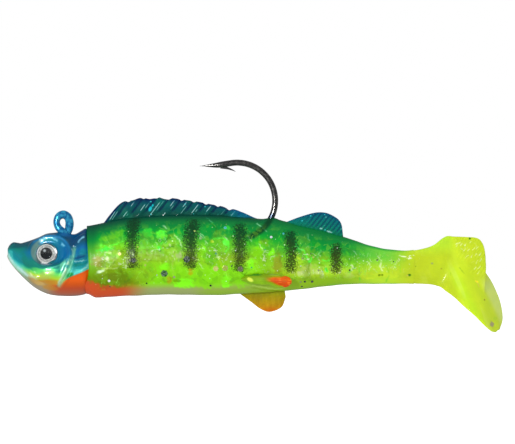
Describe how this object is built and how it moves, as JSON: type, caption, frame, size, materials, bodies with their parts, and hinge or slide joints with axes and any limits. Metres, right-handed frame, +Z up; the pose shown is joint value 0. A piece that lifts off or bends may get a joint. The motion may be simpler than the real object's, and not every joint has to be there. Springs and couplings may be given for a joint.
{
  "type": "swimbait",
  "caption": "Soft-bodied paddle-tail swimbait on a painted lead jig head, with an upturned hook through its back and a body that bends to the tail.",
  "frame": {"origin": "centre of the line-tie eye", "axes": "+X towards the tail, +Y towards the fish's right flank, +Z up through the back of the fish"},
  "size_m": [0.1018, 0.0123, 0.0354],
  "materials": {
    "head_paint": "pearl gloss, blue over green, orange at the throat",
    "black_nickel": "black nickel, polished",
    "silver_foil": "crinkled bright foil",
    "clear_resin": "clear, domed",
    "green_skin": "clear glossy soft plastic over foil, dark speckled bars",
    "chartreuse_skin": "translucent glossy soft plastic",
    "teal_skin": "translucent glossy soft plastic",
    "amber_skin": "translucent glossy soft plastic"
  },
  "bodies": {
    "head_and_front": {"head_casting": "head_paint", "jig_hook": "black_nickel", "eye_foil_left": "silver_foil", "eye_foil_right": "silver_foil", "eye_dome_left": "clear_resin", "eye_dome_right": "clear_resin", "body_front": "green_skin", "dorsal_fin_front": "teal_skin", "flash_foil_front_left": "silver_foil", "flash_foil_front_right": "silver_foil"},
    "middle": {"body_middle": "green_skin", "dorsal_fin_rear": "teal_skin", "flash_foil_rear_left": "silver_foil", "flash_foil_rear_right": "silver_foil"},
    "stem": {"tail_stem": "chartreuse_skin"},
    "paddle": {"paddle_tail": "chartreuse_skin"},
    "left_fin": {"pelvic_fin_left": "amber_skin"},
    "right_fin": {"pelvic_fin_right": "amber_skin"}
  },
  "joints": [
    {"name": "body_flex", "type": "hinge", "parent": "head_and_front", "child": "middle", "pos_m": [0.0462, 0, -0.007], "axis": [0, 0, 1], "range_deg": [-20, 20], "stiffness_Nm_per_rad": 0.004},
    {"name": "tail_wag", "type": "hinge", "parent": "middle", "child": "stem", "pos_m": [0.0665, 0, -0.0093], "axis": [0, 0, 1], "range_deg": [-28, 28], "stiffness_Nm_per_rad": 0.0015},
    {"name": "paddle_kick", "type": "hinge", "parent": "stem", "child": "paddle", "pos_m": [0.076, 0, -0.0089], "axis": [0, 0, 1], "range_deg": [-35, 35], "stiffness_Nm_per_rad": 0.0006},
    {"name": "left_fin_flex", "type": "hinge", "parent": "head_and_front", "child": "left_fin", "pos_m": [0.0374, -0.00525, -0.012], "axis": [0, 0, 1], "range_deg": [-18, 5], "stiffness_Nm_per_rad": 0.00002},
    {"name": "right_fin_flex", "type": "hinge", "parent": "head_and_front", "child": "right_fin", "pos_m": [0.0412, 0.0014, -0.015], "axis": [1, 0, 0], "range_deg": [-20, 20], "stiffness_Nm_per_rad": 0.00002}
  ]
}
